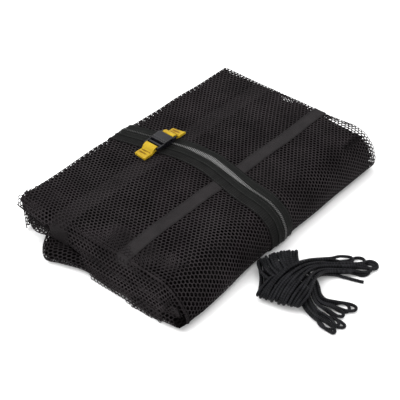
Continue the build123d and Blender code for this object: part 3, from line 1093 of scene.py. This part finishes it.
def frames_on(path: Array, out: Array, runs: Array, spots: Array) -> Array:
    """Frames along a path.

    Args:
        path: Its points.
        out: Outward direction at each point.
        runs: Length along the path at each point.
        spots: Lengths at which frames are wanted.

    Returns:
        For each spot, its side, forward and outward directions and its place, as rows.
    """
    place = np.stack([np.interp(spots, runs, path[:, i]) for i in range(3)], -1)
    ahead = unit(np.stack([np.interp(spots + 0.5, runs, path[:, i]) - np.interp(spots - 0.5, runs, path[:, i])
                           for i in range(3)], -1))
    up = np.stack([np.interp(spots, runs, out[:, i]) for i in range(3)], -1)
    side = unit(np.cross(ahead, up))
    return np.stack([side, ahead, np.cross(side, ahead), place], 1)


def copies(name: str, points: Array, faces: Sequence[tuple], frames: Array, material: Material,
           body: str) -> Object:
    """One piece made of copies of a small shape, one in each frame."""
    count = len(points)
    placed = np.concatenate([points @ frame[:3] + frame[3] for frame in frames])
    shapes = [tuple(i + k * count for i in face) for k in range(len(frames)) for face in faces]
    mesh = bpy.data.meshes.new(name)
    mesh.from_pydata((placed * MM).tolist(), [], shapes)
    return finish_piece(link_new(name, mesh), name, material, body, 50.0)


@dataclass
class Bands:
    """The reinforcing band on the netting and the hem band under its first layer."""

    form: PackForm
    finish: Material
    hem_finish: Material
    thread: Material
    band_y: float
    band_width: float
    hem_y: float
    hem_width: float
    hem_drop: float = 25.0
    thickness: float = 0.6

    def build(self) -> None:
        """Lay both bands and sew the upper one."""
        form = self.form
        from_rear = form.top_start + form.rear - form.rear_radius
        middle = from_rear - self.band_y
        half = self.band_width / 2
        low_x = form.left - 10.0

        def on_top(u: Array, v: Array) -> Array:
            """The upper band waves a little with the net."""
            return form.surface(v, u + 1.2 * np.sin(v / 53) + 0.5 * np.sin(v / 17), 0.12 * np.sin(v / 7))

        band = strip((middle - half, middle + half), (low_x, form.right - 1), (10, 160), on_top, self.thickness)
        finish_piece(band, "band_on_net", self.finish, "pack")
        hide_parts("reinforcing_band")
        self.band_width * MM
        for side, label in ((-1, "front"), (1, "rear")):
            v = np.linspace(low_x + 2, form.right - 2, 300)
            path = on_top(np.full_like(v, middle - side * (half - 1.6)), v) + [0, 0, 0.25]
            Stitches().sew(f"band_seam_{label}", path, np.tile([0.0, 0.0, 1.0], (300, 1)), self.thread, "pack")
        hem_low = from_rear - self.hem_y - self.hem_width / 2
        bend = form.left + form.crease_inset - 16.0
        drop = self.hem_drop

        def hem(u: Array, v: Array) -> Array:
            """Flat v runs along the hem, and past its bend it hangs down in front of the folds."""
            under = form.surface(np.maximum(v, bend), u, -1.9)
            past = np.maximum(bend - v, 0)
            under[..., 0] -= (1.5 + 0.9 * np.sin(past / 9 + u / 9)) * step(0, 5, past)
            under[..., 1] += 0.07 * past
            under[..., 2] -= past
            return under

        hem_strip = strip((hem_low, hem_low + self.hem_width), (bend - drop, form.right - 6), (12, 170), hem,
                          self.thickness)
        finish_piece(hem_strip, "hem_under_net", self.hem_finish, "pack")
        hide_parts("hem_band")
        self.hem_width * MM
        (form.right - 6 - bend + drop) * MM


@dataclass
class DoorZip:
    """The closed zip of the door: facings, tapes, coils and their seams, and the metal parts."""

    form: PackForm
    facing: Material
    tape: Material
    coil: Material
    thread: Material
    foot: float = 5.0
    facing_left: float = 27.0
    facing_right: float = 16.0
    facing_under: float = 6.0
    tape_width: float = 14.0
    slit: float = 0.5
    tooth_pitch: float = 2.5
    tooth_length: float = 3.7
    tooth_radius: float = 0.52
    tooth_offset: float = 1.45
    slider_room: float = 0.65
    strip_thickness: float = 0.55
    facing_lift: float = 0.4
    tape_lift: float = 1.05
    tooth_lift: float = 2.1
    # where a tooth's shoulder and its root are cut, from its middle
    shoulder: float = 1.0
    root: float = -1.2
    # name, distance from the middle of the zip, height above the net
    seams: tuple = (
        ("tape_seam_left", -12.6, 1.55), ("tape_seam_right", 12.6, 1.55), ("coil_seam_left", -5.6, 1.55),
        ("coil_seam_right", 5.6, 1.55), ("facing_seam_left", -25.4, 0.85),
    )
    # y, how wide open the two rows of teeth lie
    spread: tuple = ((-140, 0.6), (-80, 0.6), (-50, 1.0), (25, 1.05), (45, 0.6), (80, 0.5), (140, 0.5))

    def lie(self, lift: float) -> Callable[[Array, Array], Array]:
        """A form that follows the door at one height above the net."""

        def form(u: Array, v: Array) -> Array:
            """Flat u is the distance from the middle of the zip."""
            crinkle = 0.12 * np.sin(v / 5 + u / 3) * np.sin(u / 2.2)
            return self.form.surface(self.form.zip_x(v) + u, v, lift) + np.stack([0 * u, 0 * u, crinkle], -1)

        return form

    def outward(self, v: Array) -> Array:
        """The pack's outward direction along the zip."""
        turn = self.form.section(v)[2]
        return np.stack([0 * v, np.cos(turn), np.sin(turn)], -1)

    def tooth(self) -> Shape:
        """Model one turn of the coil once, across the zip along its own x."""
        cuts = [((place, 0, 0), (1, 0, 0)) for place in (self.shoulder, self.root)]
        points, faces = rod(self.tooth_radius, self.tooth_length, (0, pi / 2, 0), cuts)
        x = points[:, 0].copy()
        head = np.clip((x - self.shoulder) / (self.tooth_length / 2 - self.shoulder), 0, 1)
        points[:, 1] *= 1 + 0.35 * np.exp(-((x - self.shoulder) ** 2) / 0.5) - 0.45 * head
        points[:, 2] *= 1 - 0.4 * head
        points[:, 2] -= 0.5 * np.clip(-x / self.tooth_length * 2, 0, 1) ** 2
        return points, faces

    def build(self) -> None:
        """Lay the strips, set the teeth and sew the seams."""
        form = self.form
        start, finish = self.foot - form.foot, form.length - form.lip - 6
        facing = ("door", self.facing_lift, self.facing, Slot.FACING)
        tape = ("zip", self.tape_lift, self.tape, Slot.TAPE)
        strips = (
            ("facing_left", -self.facing_left, -self.facing_under, facing),
            ("facing_right", self.facing_under, self.facing_right, facing),
            ("tape_left", -self.tape_width, -self.slit, tape),
            ("tape_right", self.slit, self.tape_width, tape),
        )
        for name, low, high, (part, lift, material, slot) in strips:
            piece = strip((low, high), (start, finish), (12, 230), self.lie(lift), self.strip_thickness)
            finish_piece(piece, name, material, "pack")
            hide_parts(f"{part}_{name}")
            (high - low) * MM
            (finish - start) * MM
        v = np.linspace(start + 3, finish - 3, 700)
        out = self.outward(v)
        points, faces = self.tooth()
        for side, label in ((-1, "left"), (1, "right")):
            y = form.section(v)[0]
            apart = self.tooth_offset * through(self.spread, y) + self.slider_room * step(122, 134, y)
            path = self.lie(self.tooth_lift)(side * apart, v)
            runs = lengths_along(path)
            spots = np.arange(1.0 + (side > 0) * self.tooth_pitch / 2, runs[-1], self.tooth_pitch)
            frames = frames_on(path, out, runs, spots)
            frames[:, 0] *= through(self.spread, frames[:, 3, 1])[:, None]
            frames[:, 0] *= -side
            shapes = faces if side < 0 else [face[::-1] for face in faces]
            teeth = copies(f"coil_{label}", points, shapes, frames, self.coil, "pack")
            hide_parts(f"zip_coil_{label}")
        for label, u, lift in self.seams:
            path = self.lie(lift)(np.full_like(v, u), v)
            Stitches(radius=0.26).sew(label, path, out, self.thread, "pack")


# ---- webbing tabs -----------------------------------------------------------------------------------------
@dataclass
class WebbingTab:
    """A doubled yellow webbing tab, looped on the buckle's bar and sewn to the net past its crease."""

    end: End
    body: str
    webbing: Material
    thread: Material
    bar_radius: float = 1.5
    thickness: float = 1.25
    lean: float = 0.06
    crease: float = 9.5
    tail: float = 13.5

    def build(self) -> None:
        """Shape the tab and its bar tacks."""
        label = self.end.name.lower()
        node = f"webbing_tab_{label}"
        low, high = box_mm(node)
        sign = self.end.value
        loop = self.bar_radius + 0.25 + self.thickness / 2
        inner = high.x if sign < 0 else low.x
        bar_x = inner + sign * (loop + self.thickness / 2)
        bar_z = high.z - loop - self.thickness / 2
        lie = low.z + self.thickness / 2 + 0.05
        foot_x = bar_x + sign * self.crease
        end_x = foot_x + sign * self.tail
        upper = lie + self.thickness + 0.12
        stations = [
            (end_x, lie),
            (foot_x + sign * 6, lie),
            (foot_x + sign * 0.5, lie + 0.1),
            (foot_x - sign * 3, lie + 1.0),
            (bar_x + sign * 2.2, bar_z - loop - 0.1),
            (bar_x - sign * 0.6 * loop, bar_z - loop),
            (bar_x - sign * 1.25 * loop, bar_z),
            (bar_x - sign * 0.6 * loop, bar_z + loop * 1.05),
            (bar_x + sign * 2.0, bar_z + loop),
            (bar_x + sign * 5.5, bar_z + 0.6 * loop - 1.0),
            (foot_x - sign * 1.5, upper + 1.3),
            (foot_x, upper + 0.1),
            (foot_x + sign * 1.5, upper + 0.5),
            (foot_x + sign * 6, upper + 0.5),
            (end_x, upper),
        ]
        plan = np.array(stations)
        runs = lengths_along(plan)
        table = np.column_stack([runs, plan])
        middle, half = (low.y + high.y) / 2, (high.y - low.y) / 2

        def form(u: Array, v: Array) -> Array:
            """Flat v runs along the webbing, from the end of its lower leaf to the end of its upper one."""
            spot = through(table, v)
            from_bar = np.abs(2 * v / runs[-1] - 1)
            tilt = -self.lean * (u + half) * step(0.3, 1.0, from_bar) * sign
            ripple = 0.4 * np.sin(u / 3.2 + v / 5) * step(0.55, 0.7, v / runs[-1])
            return np.stack([spot[:, 0] + tilt, middle + u, spot[:, 1] + np.maximum(ripple, -0.1)], -1)

        tab = strip((-half + 0.4, half - 0.4), (0, runs[-1]), (18, 110), form, self.thickness)
        finish_piece(tab, f"tab_{label}", self.webbing, self.body, 60.0)
        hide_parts(node)
        for k, share in enumerate((0.06, 0.42)):
            x = foot_x + sign * share * self.tail
            zigzag = np.arange(-half + 3, half - 2.5, 0.9)
            path = np.array([(x + 0.9 * (-1) ** i, middle + y, upper + 1.25) for i, y in enumerate(zigzag)])
            tack = Stitches(pitch=1.9, length=2.1, radius=0.24, rise=0.2).sew(
                f"tack_{label}_{k}", path, np.tile([0.0, 0.0, 1.0], (len(path), 1)), self.thread, self.body)
            if k == 0:
                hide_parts(f"tab_stitching_{label}")


# ---- lacing cord ------------------------------------------------------------------------------------------
@dataclass
class LacingHank:
    """The lacing cord: a hank of parallel passes tied in one overhand knot, with loops at both ends."""

    finish: Material
    diameter: float = 4.0
    length: float = 5.28
    columns: int = 7
    # x, y and height of the bunch's middle, direction across it in degrees, how far its passes spread,
    # how flat they fan out into one layer, and how far the outer ones drop
    route: tuple = (
        (40, -240, 5.0, 228, 1.0, 0.0, 0),
        (28, -229, 5.4, 229, 1.0, 0.0, 0),
        (15, -215, 6.2, 232, 0.95, 0.0, 0),
        (4, -205, 8.5, 238, 0.92, 0.0, 1),
        (-9, -199.5, 13.5, 250, 0.92, 0.15, 2),
        (-25, -197.5, 19.5, 262, 0.95, 0.4, 4),
        (-43, -198.5, 24.5, 270, 1.0, 0.75, 7),
        (-60, -200.5, 26.5, 276, 1.0, 1.0, 9),
        (-74, -202, 24.0, 280, 1.0, 1.0, 9),
        (-84.5, -203, 16.5, 284, 1.0, 1.0, 6),
        (-84.5, -201, 8.0, 290, 1.0, 0.9, 2),
        (-74, -194, 4.8, 302, 0.98, 0.8, 0),
        (-60, -184, 4.8, 312, 0.95, 0.75, 0),
        (-46, -173, 4.8, 320, 0.95, 0.75, 0),
        (-33, -161, 5.6, 326, 0.97, 0.8, 0),
        (-24, -152.5, 11.5, 330, 1.0, 0.9, 3),
        (-25, -153.5, 19.5, 333, 1.0, 1.0, 5),
        (-33, -161.5, 23.8, 335, 1.0, 1.0, 6),
        (-41, -173, 22.0, 340, 0.97, 0.9, 5),
        (-44, -186, 17.0, 350, 0.9, 0.6, 2),
        (-40, -198, 13.5, 362, 0.88, 0.35, 1),
        (-38, -209, 12.0, 360, 0.88, 0.25, 1),
        (-44, -220, 10.5, 350, 0.9, 0.15, 1),
        (-53, -230, 8.0, 354, 0.92, 0.05, 0),
        (-56, -242, 5.8, 366, 1.1, 0.0, 0),
        (-53, -254, 4.8, 374, 1.4, 0.0, 0),
    )
    # how far each bight stands out past its two passes, and how many stations those passes stop short
    upper_loops: tuple = ((7, 1), (3, 0), (8, 2), (5, 1), (1, 0), (6, 1))
    lower_loops: tuple = ((9, 0), (2, 0), (11, 1), (3, 0), (7, 0), (12, 1), (4, 0))
    tail: tuple = ((9.0, -232.0, 2.5), (12.6, -240.2, 2.15), (15.4, -248.3, 2.05), (19.0, -256.0, 2.05))

    def passes(self) -> list[tuple[float, float]]:
        """Place of each pass across the bunch, in columns and layers, so that neighbours follow each other."""
        half = (self.columns - 1) / 2
        upper = [(half - c, 0.5) for c in range(self.columns)]
        lower = [(c - half, -0.5) for c in range(self.columns)]
        return upper + lower

    def line(self) -> list[Triple]:
        """The cord's whole route, pass after pass."""
        table = np.array(self.route, float)
        middle, angle, width, flat, dome = table[:, :3], np.radians(table[:, 3]), *table[:, 4:].T
        across = np.stack([np.cos(angle), np.sin(angle), 0 * angle], -1)
        up = unit(np.cross(unit(np.gradient(middle, axis=0)), across))
        share = np.arange(len(table)) / (len(table) - 1)
        loose = 1.0 - np.exp(-(((share - 0.5) / 0.3) ** 2))
        widest = self.columns - 0.5
        routes = []
        for k, (column, layer) in enumerate(self.passes()):
            fanned = 2 * column + layer
            a = self.diameter * width * (1.06 * column * (1 - flat) + 1.0 * fanned * flat)
            a = a + loose * 2.2 * np.sin(k * 2.1 + share * 3.0)
            a = a + (1 - loose) * 0.8 * np.sin(k * 2.7 + share * 14)
            b = 1.02 * self.diameter * layer * np.sqrt(1 - flat**2) - dome * (fanned / widest) ** 2
            b = b + (0.5 + 0.3 * loose) * np.sin(k * 1.3 + share * 11.0)
            points = middle + across * a[:, None] + up * b[:, None]
            points[:, 2] = np.maximum(points[:, 2], self.diameter / 2 + 0.05)
            routes.append(points)
        line = []
        last = len(routes) - 1
        for k, points in enumerate(routes):
            up_cut = 1 if k == 0 else 2 if k == last else self.upper_loops[(k - 1) // 2][1]
            low_cut = self.lower_loops[k // 2][1]
            points = points[up_cut : len(points) - low_cut]
            climbing = bool(k % 2)
            line.extend(points[::-1] if climbing else points)
            if k < last:
                reach, cut = self.upper_loops[k // 2] if climbing else self.lower_loops[k // 2]
                edge = cut if climbing else len(table) - 1 - cut
                inner = edge + 1 if climbing else edge - 1
                line.extend(self.loop(routes[k], routes[k + 1], edge, inner, reach, k))
        line.extend(np.array(self.tail))
        return [tuple(point) for point in line]

    def loop(self, here: Array, there: Array, edge: int, inner: int, reach: float, k: int) -> list[Array]:
        """The bight between two passes at one end of the hank.

        Args:
            here: The points of the pass that ends.
            there: The points of the next pass.
            edge: The last station of both.
            inner: The station before it.
            reach: How far the bight stands out, in millimetres.
            k: The pass's number.

        Returns:
            The control points of the bight.
        """
        ahead = here[edge] + there[edge] - here[inner] - there[inner]
        ahead[2] = 0
        ahead /= np.linalg.norm(ahead)
        side = np.array([-ahead[1], ahead[0], 0.0])
        middle = (here[edge] + there[edge]) / 2
        half = 6.5 if float(np.dot(here[edge] - there[edge], side)) >= 0 else -6.5
        sway = side * 2.5 * sin(k * 1.9)
        ground = self.diameter / 2 + 0.05
        shape = ((0.5, 0.8), (1.0, 1.0), (1.55, 0.55), (1.55, -0.55), (1.0, -1.0), (0.5, -0.8))
        bight = [middle + ahead * (reach + 9) * out + (side * half + sway * min(out, 1)) * across
                 + sway * out * (1 - abs(across)) for out, across in shape]
        for i, point in enumerate(bight):
            point[2] = max(ground, middle[2] - 2.0 if i in (0, 5) else 0.5 * middle[2])
        return bight

    def build(self) -> Object:
        line = self.line()
        data = bpy.data.curves.new("lacing_cord_hank", "CURVE")
        data.dimensions = "3D"
        data.bevel_depth = self.diameter / 2 * MM
        data.bevel_resolution = 3
        data.resolution_u = 5
        data.use_fill_caps = True
        spline = data.splines.new("NURBS")
        spline.points.add(len(line) - 1)
        for point, spot in zip(spline.points, line):
            point.co = (*(value * MM for value in spot), 1.0)
        spline.order_u = 3
        spline.use_endpoint_u = True
        obj = link_new("lacing_cord_hank", data)
        finish_piece(obj, "lacing_cord_hank", self.finish, "lacing_cord")
        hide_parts("cord_hank", "cord_tail")
        start = tuple(value * MM for value in line[0])
        self.diameter * MM
        return obj


# ---- the studio -------------------------------------------------------------------------------------------
@dataclass
class Studio:
    """Camera, floor and light."""

    target: Triple = (0.0061, 0.0005, 0.0)
    distance: float = 1.289
    azimuth: float = -48.55
    elevation: float = 39.69
    lens: float = 85.5
    floor_size: float = 8.0
    sky: float = 0.95
    # name, place, size and power of each light
    lights: tuple = (
        ("key", (-0.9, 0.9, 1.5), 1.2, 26.0),
        ("fill", (-1.2, -1.0, 0.9), 1.4, 9.0),
        ("top", (0.5, 0.1, 1.8), 1.6, 16.0),
    )

    def camera(self) -> None:
        """Set the camera."""
        turn, tilt = radians(self.azimuth), radians(self.elevation)
        back = Vector((sin(turn) * cos(tilt), -cos(turn) * cos(tilt), sin(tilt)))
        data = bpy.data.cameras.new("camera")
        data.lens = self.lens
        data.sensor_width = 36.0
        data.dof.use_dof = False
        camera = link_new("camera", data)
        camera.location = Vector(self.target) + back * self.distance
        camera.rotation_euler = back.to_track_quat("Z", "Y").to_euler()
        bpy.context.scene.camera = camera

    def floor(self) -> None:
        """Lay a plain pale floor."""
        deselect_all()
        bpy.ops.mesh.primitive_plane_add(size=self.floor_size, location=(0, 0, 0))
        floor = bpy.context.object
        floor.name = "floor"
        graph = Graph("pale floor")
        colour = graph.tint(graph.cloud(2.0), (0.93, 0.93, 0.93), (0.95, 0.95, 0.95))
        floor.data.materials.append(graph.surface(colour, Roughness=0.9, Specular_IOR_Level=0.1))

    def light(self, name: str, place: Triple, size: float, power: float) -> None:
        """Hang one soft light that faces the object."""
        data = bpy.data.lights.new(name, "AREA")
        data.size = size
        data.energy = power
        lamp = link_new(name, data)
        lamp.location = place
        lamp.rotation_euler = Vector(place).to_track_quat("Z", "Y").to_euler()

    def build(self) -> None:
        """Set up everything that isn't the object."""
        self.camera()
        self.floor()
        world = bpy.data.worlds.new("studio")
        world.use_nodes = True
        background = world.node_tree.nodes["Background"].inputs
        background["Color"].default_value = (1.0, 1.0, 1.0, 1.0)
        background["Strength"].default_value = self.sky
        bpy.context.scene.world = world
        for light in self.lights:
            self.light(*light)
        bpy.context.scene.view_settings.view_transform = "Standard"


def dress(nodes: dict[str, Object], names: Sequence[str], material: Material) -> None:
    """Give carried-over parts a better material in their own slots."""
    for name in names:
        obj = nodes[name]
        if not obj.data.materials:
            obj.data.materials.append(material)
        for i in range(len(obj.data.materials)):
            obj.data.materials[i] = material
        LOG.info("dressed %s", name)


def middle_and_width(node: str) -> tuple[float, float]:
    """Middle and width of a band of the frame, across the pack, in millimetres."""
    low, high = box_mm(node)
    return (low.y + high.y) / 2, high.y - low.y


def main() -> None:
    """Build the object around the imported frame."""
    logging.basicConfig(level=logging.INFO, format="%(name)s: %(message)s")
    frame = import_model()
    Studio().build()
    cord = BraidFinish("braided cord", (0.0002, 0.0002, 0.0003), (0.036, 0.036, 0.041), plaits=900.0).make()
    LacingHank(cord).build()

    low, high = box_mm("outer_wrap")
    form = PackForm(left=low.x, right=high.x + 5.0, front=low.y, rear=high.y, height=high.z)
    strand = KnitFinish("net strands", (0.0055, 0.0047, 0.0050), (0.035, 0.0301, 0.0320)).make()
    # The inner layer's strands are the same knit in much darker colours: painted shade.
    painted_shade_net = KnitFinish("net strands of the inner layer", (0.0015, 0.0013, 0.0014), (0.0095, 0.0082, 0.0087),
                      gloss=0.02).make()
    # The folds' strands are the same knit in somewhat darker colours: painted shade.
    fold = KnitFinish("net strands of the folds", (0.004, 0.0034, 0.0037), (0.024, 0.0207, 0.0220)).make()
    # The packed plies are the same knit, near black with darker holes: painted shade.
    painted_shade_plies = PlyFinish("packed plies", (0.0005, 0.0004, 0.0004), (0.0045, 0.0039, 0.0041)).make()
    OuterTurn(form, strand, painted_shade_net).build()
    FoldPackets(form, fold, painted_shade_net, painted_shade_plies).build()

    band = WovenFinish("woven band", (0.010, 0.0090, 0.0095), (0.033, 0.0297, 0.0310), ends=22,
                       picks=330).make()
    hem = WovenFinish("hem band", (0.006, 0.0052, 0.0055), (0.018, 0.0157, 0.0165), ends=26, picks=330).make()
    dark_thread = MouldedFinish("dark thread", (0.006, 0.006, 0.006), (0.025, 0.024, 0.0245), 0.6,
                                gloss=0.1).make()
    Bands(form, band, hem, dark_thread, *middle_and_width("reinforcing_band"),
          *middle_and_width("hem_band")).build()

    facing = WovenFinish("door facing", (0.0025, 0.0026, 0.0025), (0.0185, 0.0185, 0.0182), ends=7, picks=120,
                         rough=0.75, relief=0.0008, gloss=0.03).make()
    tape = WovenFinish("zip tape", (0.0035, 0.0037, 0.0035), (0.0135, 0.0142, 0.0135), ends=14,
                       picks=300).make()
    coil = CoilFinish("coil plastic", (0.006, 0.006, 0.006), (0.22, 0.22, 0.217)).make()
    metal = MouldedFinish("dark zinc", (0.10, 0.10, 0.105), (0.32, 0.32, 0.33), 0.32, metal=1.0).make()
    light_thread = MouldedFinish("light thread", (0.012, 0.012, 0.0118), (0.04, 0.04, 0.039), 0.6,
                                 gloss=0.1).make()
    DoorZip(form, facing, tape, coil, light_thread).build()
    dress(frame["nodes"], ("zip_slider", "zip_pull_tab", "zip_end_stops"), metal)

    plastic = MouldedFinish("buckle plastic", (0.003, 0.003, 0.0042), (0.010, 0.010, 0.0135), 0.3,
                            coat=0.05).make()
    dress(frame["nodes"], ("buckle_female", "buckle_male", "buckle_prong_front", "buckle_prong_rear"), plastic)
    webbing = WovenFinish("yellow webbing", (0.30, 0.15, 0.003), (0.58, 0.43, 0.016), ends=11, picks=34,
                          rough=0.55, relief=0.0006, gloss=0.25).make()
    yellow_thread = MouldedFinish("yellow thread", (0.10, 0.035, 0.002), (0.24, 0.10, 0.005), 0.7).make()
    WebbingTab(End.LEFT, "buckle_plug", webbing, yellow_thread).build()
    WebbingTab(End.RIGHT, "pack", webbing, yellow_thread, lean=0.26).build()


if __name__ == "__main__":
    main()
